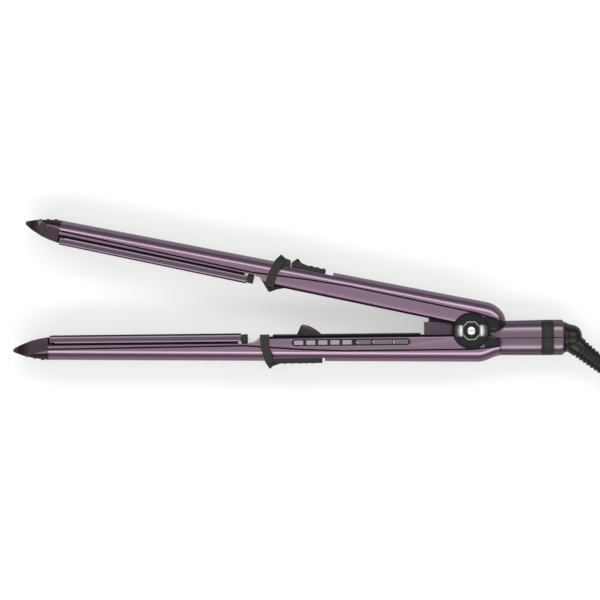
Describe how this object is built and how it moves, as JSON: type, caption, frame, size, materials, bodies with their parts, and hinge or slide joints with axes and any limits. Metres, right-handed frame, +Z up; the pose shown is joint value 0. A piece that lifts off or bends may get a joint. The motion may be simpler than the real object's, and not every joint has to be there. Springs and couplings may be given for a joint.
{
  "type": "hair crimper",
  "caption": "Long-plate hair crimper with two sprung arms, ridged plates, lock slider, side keys and a swivel cord.",
  "frame": {"origin": "where the hinge axis meets the table that the tool lies on, at the rear hinge cap's outer face", "axes": "+X along the closing plane towards the cord, +Y towards the upper arm, +Z up along the hinge pin"},
  "size_m": [0.561, 0.182, 0.036],
  "materials": {
    "purple_shell": "metallic paint on a moulded casing",
    "purple_casting": "painted die-casting",
    "purple_plate": "polished coated plate",
    "black_rubber": "matte soft grip",
    "black_gloss": "glossy moulding",
    "black_plastic": "fine moulded grain",
    "heat_plastic": "heat resistant, matte",
    "window_grey": "translucent grey lens",
    "key_grey": "satin",
    "chrome": "polished",
    "steel": "plain",
    "brass": "turned",
    "aluminium": "die-cast",
    "ceramic": "sintered ceramic heater",
    "board_green": "coated circuit board",
    "cord_black": "smooth flexible cord"
  },
  "bodies": {
    "lower_arm": {"lower_outer_shell": "purple_shell", "lower_inner_shell": "purple_shell", "lower_inlay": "black_plastic", "lower_tip": "purple_shell", "lower_finger_guard": "black_rubber", "lower_plate_carrier": "heat_plastic", "lower_plate_stop": "heat_plastic", "lower_plate_springs": "steel", "lower_shell_screws": "steel", "latch_hook": "black_gloss", "control_bezel": "black_plastic", "indicator_windows": "window_grey", "circuit_board": "board_green", "hinge_yoke": "purple_casting", "hinge_skirt": "black_plastic", "pivot_pin": "steel", "opening_spring": "steel", "front_hinge_cap": "black_gloss", "front_cap_bezel": "chrome", "front_medallion": "chrome", "rear_hinge_cap": "black_gloss", "rear_cap_bezel": "chrome", "rear_medallion": "chrome", "tail_top": "purple_shell", "tail_bottom": "purple_shell", "tail_band": "black_rubber", "tail_collar": "purple_shell"},
    "upper_arm": {"upper_outer_shell": "purple_shell", "upper_inner_shell": "purple_shell", "upper_inlay": "black_plastic", "upper_tip": "purple_shell", "upper_finger_guard": "black_rubber", "upper_plate_carrier": "heat_plastic", "upper_plate_stop": "heat_plastic", "upper_plate_springs": "steel", "upper_shell_screws": "steel", "alignment_tooth": "black_gloss", "hinge_knuckle": "aluminium", "hinge_bushes": "brass"},
    "lower_plate": {"lower_plate": "purple_plate", "lower_heater": "ceramic", "lower_heater_clip": "steel", "lower_plate_cradle": "heat_plastic"},
    "upper_plate": {"upper_plate": "purple_plate", "upper_heater": "ceramic", "upper_heater_clip": "steel", "upper_plate_cradle": "heat_plastic"},
    "lock_slider": {"lock_slider": "black_rubber", "lock_bolt": "steel"},
    "button_less": {"button_less": "key_grey"},
    "button_more": {"button_more": "key_grey"},
    "button_power": {"button_power": "key_grey"},
    "cord_swivel": {"swivel_elbow": "black_rubber", "swivel_retainer": "brass", "cord_tube": "cord_black", "cord_coil": "cord_black", "cord_tie": "cord_black", "cord_tail": "cord_black", "plug_body": "cord_black", "plug_blades": "brass"}
  },
  "joints": [
    {"name": "main_hinge", "type": "hinge", "parent": "lower_arm", "child": "upper_arm", "pos_m": [0, 0, 0.018], "axis": [0, 0, 1], "range_deg": [0, 12.7], "stiffness_Nm_per_rad": 0.35, "springref_deg": -20.05, "deforming": ["opening_spring"]},
    {"name": "lower_plate_float", "type": "slide", "parent": "lower_arm", "child": "lower_plate", "axis": [0, -1, 0], "range_m": [0, 0.001], "stiffness_N_per_m": 2500, "springref_m": -0.001, "deforming": ["lower_plate_springs"]},
    {"name": "upper_plate_float", "type": "slide", "parent": "upper_arm", "child": "upper_plate", "axis": [0.2147, 0.9767, 0], "range_m": [0, 0.001], "stiffness_N_per_m": 2500, "springref_m": -0.001, "deforming": ["upper_plate_springs"]},
    {"name": "lock_slide", "type": "slide", "parent": "upper_arm", "child": "lock_slider", "axis": [0.9767, -0.2147, 0], "range_m": [0, 0.0047]},
    {"name": "button_less_press", "type": "slide", "parent": "lower_arm", "child": "button_less", "axis": [0, 0, -1], "range_m": [0, 0.0006], "stiffness_N_per_m": 800, "springref_m": -0.0005},
    {"name": "button_more_press", "type": "slide", "parent": "lower_arm", "child": "button_more", "axis": [0, 0, -1], "range_m": [0, 0.0006], "stiffness_N_per_m": 800, "springref_m": -0.0005},
    {"name": "button_power_press", "type": "slide", "parent": "lower_arm", "child": "button_power", "axis": [0, 0, -1], "range_m": [0, 0.0006], "stiffness_N_per_m": 800, "springref_m": -0.0005},
    {"name": "cord_swivel", "type": "hinge", "parent": "lower_arm", "child": "cord_swivel", "pos_m": [0.06, -0.0052, 0.018], "axis": [1, 0, 0], "continuous": true}
  ]
}
